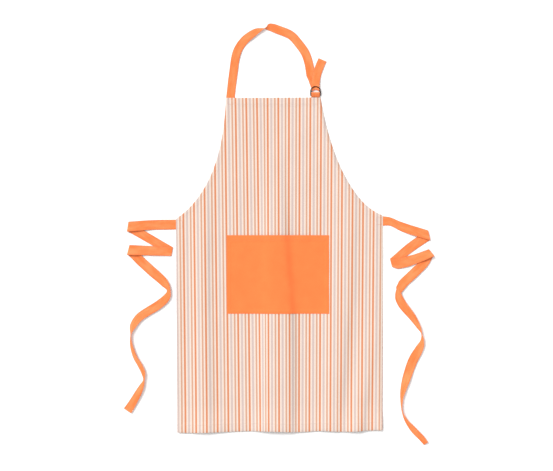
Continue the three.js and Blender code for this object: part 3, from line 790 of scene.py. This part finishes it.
def stitches(name, runs, material):
    """A piece of separate stitches along runs, each a pair: points, and the normals there."""
    spaced = [spaced_along(*run, PITCH) for run in runs]
    places, along, normals = (np.concatenate(part) for part in zip(*spaced))
    side = np.cross(normals, along)
    angle = np.arange(STITCH_SIDES) * 2 * math.pi / STITCH_SIDES
    points = places[:, None, None] + sum(
        direction[:, None, None] * reach[..., None] for direction, reach in (
            (along, STITCH_ALONG), (side, STITCH_RADIUS * np.cos(angle)),
            (normals, STITCH_UP + STITCH_RADIUS * np.sin(angle))))
    place = np.broadcast_to(grid_of(angle, STITCH_ALONG, 0.0), points.shape)
    corner = np.arange(len(STITCH_ALONG) * STITCH_SIDES).reshape(-1, STITCH_SIDES)
    around = np.roll(corner, -1, 1)
    one = [
        *quads(corner[:-1], around[:-1], around[1:], corner[1:]).tolist(),
        corner[0, ::-1].tolist(), corner[-1].tolist(),
    ]
    faces = [[at + i * corner.size for at in face] for i in range(len(places)) for face in one]
    return mesh_piece(name, points, faces, material, place)


def on_surface(plan, surface):
    """A run along plan points on a height function, facing up."""
    x, y = plan[:, 0], plan[:, 1]
    h = 0.5 * MM
    slope_x = (surface(x + h, y) - surface(x - h, y)) / (2 * h)
    slope_y = (surface(x, y + h) - surface(x, y - h)) / (2 * h)
    return grid_of(x, y, surface(x, y)), grid_of(-slope_x, -slope_y, 1.0)


def under_hem(plan):
    """A run along plan points on the back of the panel's hem, facing down."""
    points, normals = on_surface(plan, panel_top)
    points[:, 2] -= CLOTH + HEM_GAP + HEM
    return points, -normals


def straight(*corners):
    """Plan points every few millimetres along straight lines between corners."""
    parts = []
    for a, b in zip(corners[:-1], corners[1:]):
        a, b = np.array(a, float), np.array(b, float)
        steps = max(2, int(np.linalg.norm(b - a) / (4 * MM)))
        parts.append(a + (b - a) * np.linspace(0, 1, steps + 1)[:, None])
    return np.concatenate(parts)


def seam(name, plan, node, material, surface=None):
    """A line of stitches: through the panel and its hem, or on one face of another surface."""
    runs = [on_surface(plan, surface or panel_top)] + ([] if surface else [under_hem(plan)])
    return place_piece(stitches(name, runs, material), node)


def make_seams():
    """The panel's hem stitching. Each line starts and ends a little way in from the corners."""
    made = []
    for side, name in ((-1, "left"), (1, "right")):
        waist = LEFT_WAIST if side < 0 else RIGHT_WAIST
        for part, low, high, width in (
            ("side", LEFT_Y[0] + 0.008, waist - 0.003, SIDE_HEM),
            ("armhole", waist + 0.004, LEFT_Y[-1] - 0.004, ARM_HEM),
        ):
            plan = side_line(side, low, high, width - STITCH_IN)
            part = f"{name}_{part}"
            made.append(seam(f"{part}_seam", plan, f"{part}_stitching", CREAM_THREAD))
    inset = SIDE_HEM - STITCH_IN
    foot = cross_line(foot_y, LEFT_X[0] + inset, RIGHT_X[0] - inset, FOOT_HEM - STITCH_IN)
    made.append(seam("foot_seam", foot, "bottom_hem_stitching", CREAM_THREAD))
    bib = cross_line(bib_y, LEFT_X[-1] + 0.012, RIGHT_X[-1] - 0.012, STITCH_IN - BIB_HEM)
    made.append(seam("bib_seam", bib, "bib_top_stitching", CREAM_THREAD))
    return made


def tack(name, xs, ys, node):
    """A rectangle of stitches that holds a tape's end behind the panel."""
    (left, right), (low, high) = sorted(xs), sorted(ys)
    loop = straight((left, low), (right, low), (right, high), (left, high), (left, low))
    return seam(name, loop, node, ORANGE_THREAD)


def make_tacks():
    bib = (LEFT_Y[-1] - TACK_FAR, LEFT_Y[-1] - TACK_NEAR)
    x, half = STRAP_ROUTE[0][0], STRAP_WIDTH / 2 - TACK_SIDE
    made = [
        tack("strap_tack", (x - half + 0.002, x + half), bib, "neck_strap_stitching"),
        tack("tab_tack", (RING_X - half, RING_X + half - 0.002), bib, "ring_tab_stitching"),
    ]
    for tie, name in ((LEFT_TIE, "left"), (RIGHT_TIE, "right")):
        x, top, bottom = tie["seam"]
        xs = (x - tie["out"] * TACK_NEAR, x - tie["out"] * (TACK_FAR + 0.5 * MM))
        ys = (bottom + TACK_SIDE, top - TACK_SIDE)
        made.append(tack(f"{name}_tie_tack", xs, ys, f"{name}_tie_stitching"))
    return made


def make_pocket_seams():
    left, right = POCKET_LOW.x + POCKET_SEAM, POCKET_HIGH.x - POCKET_SEAM
    foot, mouth = POCKET_LOW.y + POCKET_SEAM, POCKET_HIGH.y - 0.002
    around = straight((left, mouth), (left, foot), (right, foot), (right, mouth))
    hem = POCKET_HIGH.y - POCKET_HEM + POCKET_SEAM
    across = straight((left + POCKET_SEAM, hem), (right - POCKET_SEAM, hem))
    return [
        seam("pocket_seam", around, "pocket_stitching", ORANGE_THREAD, pocket_top),
        seam("mouth_seam", across, "pocket_mouth_stitching", ORANGE_THREAD, pocket_top),
    ]


seams = make_seams()
tacks = make_tacks()
pocket_seams = make_pocket_seams()

# ---- tapes ----
LOW = TAPE / 2  # middle of a tape that lies on the surface
SLUMP = 0.28  # how high a tape on edge stands, as a share of its width
# Columns across a tape, as shares of its width, and how thick it is at each.
ACROSS = np.array([
    0, 0.012, 0.035, 0.06, 0.09, 0.12, 0.2, 0.35, 0.5,
    0.65, 0.8, 0.88, 0.91, 0.94, 0.965, 0.988, 1])
PLUMP = np.array([
    0.4, 0.72, 0.95, 0.96, 0.8, 0.96, 1, 1, 1, 1, 1, 0.96, 0.8, 0.96, 0.95, 0.72, 0.4])
EDGE_SEAMS = (4, 12)  # the columns where the tape's edges are stitched
RIPPLE = 0.8 * MM  # how far a loose tape stands off the surface


def smooth_path(points, per_span):
    """A centripetal Catmull-Rom curve through points, with a number of steps in each span."""
    p = np.array(points, float)
    p = np.vstack([2 * p[0] - p[1], p, 2 * p[-1] - p[-2]])
    made = []
    for i in range(len(points) - 1):
        p0, p1, p2, p3 = p[i:i + 4]
        pairs = ((p0, p1), (p1, p2), (p2, p3))
        d0, d1, d2 = (max(np.linalg.norm(b - a), 1e-9) ** 0.5 for a, b in pairs)
        m1 = ((p1 - p0) / d0 - (p2 - p0) / (d0 + d1) + (p2 - p1) / d1) * d1
        m2 = ((p2 - p1) / d1 - (p3 - p1) / (d1 + d2) + (p3 - p2) / d2) * d1
        last = i == len(points) - 2
        w = np.linspace(0, 1, per_span + 1)[:, None][:None if last else -1]
        made.append(hermite(w, p1, m1, p2, m2))
    return np.concatenate(made)


def route_rows(route, width, side, per_span=8, skip=0):
    """Cross-sections along a route. side is 1 where a row starts at the tape's left edge."""
    # Turn and skew go through the curve as thousandths, so that they don't add to its length.
    knots = [(x, y, turn * MM, (skew or [0])[0] * MM) for x, y, turn, *skew in route]
    path = smooth_path(knots, per_span)
    ahead = unit(np.gradient(path[:, :2], axis=0))
    turn = np.radians(np.clip(path[:, 2] / MM, -180, 180))
    bearing = np.arctan2(ahead[:, 0], -ahead[:, 1]) + np.radians(path[:, 3] / MM)
    flat = np.cos(turn) * side
    raised = np.sin(turn) * SLUMP
    height = np.abs(raised) * width / 2 + np.abs(flat) * TAPE / 2
    across = grid_of(np.cos(bearing) * flat, np.sin(bearing) * flat, raised)
    middle = grid_of(path[:, 0], path[:, 1], height)
    rows = middle[:, None] + across[:, None] * (width / 2 * (1 - 2 * ACROSS))[None, :, None]
    return list(rows[skip:])


def span_rows(start, end, heights, count, bends=()):
    """Cross-sections between two lines in plan, by way of bends: (share of the way, edge, edge).

    The heights are (share, near edge, far edge), or (share, height) where both edges are level.
    """
    shares = [0, *(bend[0] for bend in bends), 1]
    edges = np.array([start, *(bend[1:] for bend in bends), end])
    rows = []
    for t in np.linspace(0, 1, count):
        a, b = np.array([
            [through(t, list(zip(shares, edges[:, side, axis]))) for axis in (0, 1)]
            for side in (0, 1)])
        plan = a + (b - a) * ACROSS[:, None]
        near, far = (through(t, [(knot[0], knot[edge]) for knot in heights]) for edge in (1, -1))
        rows.append(grid_of(plan[:, 0], plan[:, 1], near + (far - near) * ACROSS))
    return rows


def crease_back(loop):
    """How far from a crease the layers end, for the height of the upper layer above the lower."""
    return (np.asarray(loop) * MM - LOW) / 2 + TAPE / 2


def crease_rows(crease, out, loop, rising, count=12):
    """A soft half turn about a crease, between a layer at height loop and one on the surface."""
    radius = (loop[0] + (loop[1] - loop[0]) * ACROSS) * MM / 2 - LOW / 2
    a, b = np.array(crease[0]), np.array(crease[1])
    plan = a + (b - a) * ACROSS[:, None]
    rows = []
    for angle in np.linspace(0, math.pi, count + 1):
        reach = out * (radius * math.sin(angle) - radius - TAPE / 2)
        turned = math.pi - angle if rising else angle
        rows.append(grid_of(plan[:, 0] + reach, plan[:, 1], LOW + radius * (1 + math.cos(turned))))
    return rows


def rippled(rows, seed, start, end):
    """Rows raised by gentle waves, which fade in from start to end. Layers rise together."""
    rows = np.array(rows)
    x, y = rows[..., 0], rows[..., 1]
    ahead = np.subtract(end, start)
    away = ((x - start[0]) * ahead[0] + (y - start[1]) * ahead[1]) / (ahead @ ahead)
    lift = RIPPLE * (1 + 0.5 * waves(x, y, seed, 0.028, 0.080))
    rows[..., 2] += np.maximum(lift, 0) * ramp(away, 0, 1)
    return rows


def tape_frame(rows):
    """Each point's normal, across times along, and the length along the middle of the tape."""
    rows = np.array(rows)
    along = np.gradient(rows, axis=0)
    short = np.linalg.norm(along, axis=2, keepdims=True) < 0.01 * MM
    along = np.where(short, along.mean(1, keepdims=True), along)
    across = np.gradient(rows, axis=1)
    return rows, unit(np.cross(across, along)), lengths_along(rows[:, len(ACROSS) // 2])


def tape_piece(name, rows, width, hem_at_end=0.0, goes_on=""):
    """A tape through its rows; hem_at_end is its turned end, and goes_on an end that isn't cut."""
    rows, normal, length = tape_frame(rows)
    thick = TAPE / 2 * PLUMP * np.ones((len(rows), 1))
    if hem_at_end:
        turned = ramp(length, length[-1] - hem_at_end - MM, length[-1] - hem_at_end)
        thick = thick * (1 + 0.5 * turned[:, None])
    left = length[-1] - length
    from_ends = {"start": left, "end": length}.get(goes_on, np.minimum(length, left))
    thick = thick * (0.45 + 0.55 * rounded(from_ends))[:, None]
    # The third part is the distance from the tape's middle; it darkens the edges, partly selvage
    # and partly painted shade.
    place = grid_of((ACROSS - 0.5) * width, length[:, None], np.abs(2 * ACROSS - 1) * MM)
    below = place + np.array([0.0, 0.0007, 0.0])
    offset = normal * thick[..., None]
    piece = shell(name, rows + offset, rows - offset, TAPE_CLOTH, place, below)
    return piece, (rows, normal, thick, length)


def tape_stitches(name, tape, ends=()):
    """Seams along both edges of a tape, on both faces, and across it at the given lengths."""
    rows, normal, thick, length = tape
    runs = []
    for face in (1, -1):
        surface = rows + face * normal * thick[..., None]
        for column in EDGE_SEAMS:
            runs.append((surface[:, column], face * normal[:, column]))
        for at in ends:
            i = int(np.argmin(np.abs(length - at)))
            inner = slice(EDGE_SEAMS[0], EDGE_SEAMS[1] + 1)
            runs.append((surface[i, inner], face * normal[i, inner]))
    return stitches(name, runs, ORANGE_THREAD)


def make_tape(name, rows, width, nodes, hem=0.0, goes_on="", across=(), seams_name=""):
    """A tape, its seams and its flat size. across is the cross seams' distances from its end.
    """
    piece, tape = tape_piece(f"{name}_tape", rows, width, hem, goes_on)
    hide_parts(*nodes)
    length = tape[3][-1]
    sewn = tape_stitches(f"{seams_name or name}_edge_seams", tape, [length - at for at in across])
    for made in (piece, sewn):
        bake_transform(made)
    return piece, sewn, (width, length)


# ---- waist ties ----
OVER = LOW + 2.0 * MM  # middle of a layer that lies on another


def tie_rows(tie):
    """A waist tie's cross-sections, from its sewn end through its zigzag to its loose end."""
    out, creases, loops, bends = (tie[key] for key in ("out", "creases", "loops", "bends"))
    seam_x, top, bottom = tie["seam"]
    first, second, third = (
        np.array(crease) - [[-turn * crease_back(loop[0]), 0], [-turn * crease_back(loop[1]), 0]]
        for crease, loop, turn in zip(creases, loops, (-out, out, -out))
    )
    at_loop = [(loop[0] * MM, loop[1] * MM) for loop in loops]
    seam_line, near, far = (
        [(seam_x - out * inset, top), (seam_x - out * inset, bottom)]
        for inset in (0.0, 0.6 * MM, SEWN))
    rows = span_rows(far, near, [(0, SEWN_LEVEL), (1, SEWN_LEVEL)], 8)
    rows += span_rows(
        seam_line, first,
        [(0, LOW), (0.12, LOW + 0.5 * MM), (0.40, LOW + 0.3 * MM), (0.58, OVER, OVER + MM),
         (0.78, at_loop[0][0], at_loop[0][1] - 0.4 * MM), (1, *at_loop[0])],
        40, bends[0])
    rows += crease_rows(creases[0], out, loops[0], False)
    rows += span_rows(
        first, second, [(0, LOW), (0.5, LOW + 0.2 * MM), (1, LOW)], 34, bends[1])[1:-1]
    rows += crease_rows(creases[1], -out, loops[1], True)
    rows += span_rows(
        second, third,
        [(0, *at_loop[1]), (0.1, OVER), (0.40, OVER), (0.52, OVER - 0.7 * MM, OVER),
         (0.66, OVER, OVER + MM), (0.84, at_loop[2][0], at_loop[2][1] - 0.4 * MM),
         (1, *at_loop[2])],
        34, bends[2])[1:-1]
    rows += crease_rows(creases[2], out, loops[2], False)
    middle = np.array(creases[2]).mean(0)
    start = (middle[0] - out * 2 * MM, middle[1], 0)
    rows += route_rows([start, *tie["route"]], TIE_WIDTH, -out, 10, tie["lead"])
    return rows


def make_tie(tie, name):
    (x, top, bottom), out = tie["seam"], tie["out"]
    y = (top + bottom) / 2
    rows = rippled(tie_rows(tie), 4, (x + out * 0.010, y), (x + out * 0.030, y))
    return make_tape(
        name, rows, TIE_WIDTH, (name, f"{name}_sewn_end"), hem=0.010, across=[0.008])


left_tie = make_tie(LEFT_TIE, "left_tie")
right_tie = make_tie(RIGHT_TIE, "right_tie")

# ---- neck strap, its loose end and the ring tab ----
GATHERED = 0.011  # half the strap's width where it passes the rings
ARC_Y = LOWER_RING_Y + RING_DEPTH - RING_HALF
WRAP = WIRE + 0.3 * MM + TAPE / 2  # from the wire's middle to the strap's middle
RETURN_Z = LOWER_RING_Z + WRAP
TAIL_GATHER = 0.8 * MM  # how much narrower the tail starts on each side
# The strap's way in to the rings, in mm: distance above the lower ring, how much narrower it is on
# each side, how far it follows the ring's arc, and its shift to the left.
RING_APPROACH = [
    (26, 0.0, 0.0, 8.6), (20, 0.0, 0.15, 6.2), (14, 0.3, 0.4, 4.0), (10, 0.8, 0.6, 2.4),
    (6, 1.1, 0.8, 1.0),
]


def ring_row(y, z, half, bend, shift=0.0):
    """A cross-section of the strap near the rings: bend 1 follows the lower ring's arc."""
    u = (2 * ACROSS - 1) * half
    drop = RING_HALF - np.sqrt(RING_HALF ** 2 - (u * GATHERED / half) ** 2)
    return grid_of(RING_X + shift + u, y - drop * bend, z)


def wrap_row(angle):
    """The strap's turn about the lower ring's wire: 0 is below it and a half turn above it."""
    u = (2 * ACROSS - 1) * GATHERED
    rise = np.sqrt(RING_HALF ** 2 - u ** 2)
    reach = WRAP * math.sin(angle) / RING_HALF
    return grid_of(
        RING_X + u * (1 - reach), ARC_Y + rise * (1 - reach), LOWER_RING_Z - WRAP * math.cos(angle))


def strap_rows():
    """The neck strap, from its sewn end round its loop and back over the lower ring."""
    arc_top = ARC_Y + RING_HALF
    half = STRAP_WIDTH / 2
    x = STRAP_ROUTE[0][0]
    top = LEFT_Y[-1] - 0.2 * MM
    edges = [((x - half, y), (x + half, y)) for y in (top - SEWN, top)]
    rows = span_rows(*edges, [(0, SEWN_LEVEL), (1, SEWN_LEVEL)], 8)
    loop = route_rows(STRAP_ROUTE, STRAP_WIDTH, 1, 9)
    y = STRAP_ROUTE[0][1]
    rows += list(rippled(loop, 7, (x, y + 0.025), (x, y + 0.050)))
    for up, narrower, bend, shift in RING_APPROACH:
        rows.append(ring_row(arc_top + up * MM, LOW, half - narrower * MM, bend, -shift * MM))
    rows += [wrap_row(angle) for angle in np.linspace(0, math.pi, 17)]
    rows += [
        ring_row(arc_top + 0.0025, RETURN_Z, GATHERED + 0.1 * MM, 0.8),
        ring_row(arc_top + 0.005, RETURN_Z, GATHERED + 0.3 * MM, 0.6),
        ring_row(TAIL_ROUTE[0][1], RETURN_Z, half - TAIL_GATHER, 0),
    ]
    return rows


def tail_rows():
    """The strap's loose end, beyond the rings, lying on the strap."""
    path = smooth_path(TAIL_ROUTE, 10)
    ahead = unit(np.gradient(path[:, :2], axis=0))
    share = np.linspace(0, 1, len(path))
    half = STRAP_WIDTH / 2 - TAIL_GATHER * (1 - ramp(share, 0, 0.25))
    u = (2 * ACROSS - 1) * half[:, None]
    return list(grid_of(
        path[:, :1] + u * ahead[:, 1:], path[:, 1:2] - u * ahead[:, :1], path[:, 2:] + u * 0))


def tab_rows():
    """The ring tab: its sewn layers, and its turn round the rings."""
    x = RING_X + (ACROSS - 0.5) * STRAP_WIDTH
    low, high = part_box("ring_tab_sewn_end")
    sewn = [(y, SEWN_LEVEL) for y in np.linspace(low.y, high.y, 7)]
    return [grid_of(x, y, z) for y, z in (*sewn, *smooth_path(TAB_PATH, 6))]


strap = make_tape(
    "neck_strap", strap_rows(), STRAP_WIDTH, ("neck_strap", "neck_strap_sewn_end"),
    goes_on="end")
tail = make_tape(
    "neck_strap_tail", tail_rows(), STRAP_WIDTH, ["neck_strap_tail"],
    hem=0.009, goes_on="start", across=[0.0075], seams_name="tail")
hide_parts("tail_end_stitching")
tab = make_tape(
    "ring_tab", tab_rows(), STRAP_WIDTH, ("ring_tab", "ring_tab_sewn_end"))


# ---- rings ----
RING_SIDES = 16


def ring_piece(name, y, z, rise):
    """A D-ring of round wire: a straight bar, rounded corners, short sides and a half-round arc."""
    half, corner = RING_HALF, RING_CORNER
    bar = [(u, 0.0) for u in np.linspace(corner - half, half - corner, 10)]

    def bend(radius, u, v, start, end, count):
        angles = np.linspace(start, end, count)
        return [(u + radius * math.cos(a), v + radius * math.sin(a)) for a in angles]

    right = bend(corner, half - corner, corner, -math.pi / 2, 0, 8)[1:]
    arc = bend(half, 0.0, RING_DEPTH - half, 0, math.pi, 33)
    left = [(-u, v) for u, v in right[::-1]]
    loop = np.array([
        (RING_X + u, y + v, z + rise * v / RING_DEPTH) for u, v in bar + right + arc + left[:-1]])
    normal = unit(np.array([0.0, -rise / RING_DEPTH, 1.0]))
    outward = np.cross(unit(np.roll(loop, -1, 0) - np.roll(loop, 1, 0)), normal)
    angle = np.arange(RING_SIDES) * 2 * math.pi / RING_SIDES
    points = (
        loop[:, None] + outward[:, None] * (WIRE * np.cos(angle))[None, :, None]
        + normal * (WIRE * np.sin(angle))[None, :, None]
    )
    corners = np.arange(len(loop) * RING_SIDES).reshape(-1, RING_SIDES)
    ahead = np.roll(corners, -1, 0)
    faces = quads(corners, ahead, np.roll(ahead, -1, 1), np.roll(corners, -1, 1)).tolist()
    return mesh_piece(name, points, faces, METAL, points)


place_piece(
    ring_piece("lower_ring_wire", LOWER_RING_Y, LOWER_RING_Z, 0.0),
    "lower_d_ring", "neck_loop")
place_piece(
    ring_piece("upper_ring_wire", UPPER_RING_Y, UPPER_RING_Z, UPPER_RING_RISE),
    "upper_d_ring", "clamp_ring")


# ---- floor ----
def add_floor():
    """A plain white surface, 24 m across, just under the apron."""
    corners = [(12.0 * u, 12.0 * v, -0.3 * MM) for u, v in ((-1, -1), (1, -1), (1, 1), (-1, 1))]
    shader = Shader("studio_floor")
    grain = shader.noise(shader.add("ShaderNodeTexCoord").outputs["Object"], 3.0, 2)
    shader.set(
        base_color=(0.93, 0.93, 0.93, 1.0), specular_ior_level=0.1,
        roughness=shader.scaled(grain, 0.1, 0.85),
    )
    mesh_piece("floor", corners, [[0, 1, 2, 3]], shader.material, corners)


add_floor()
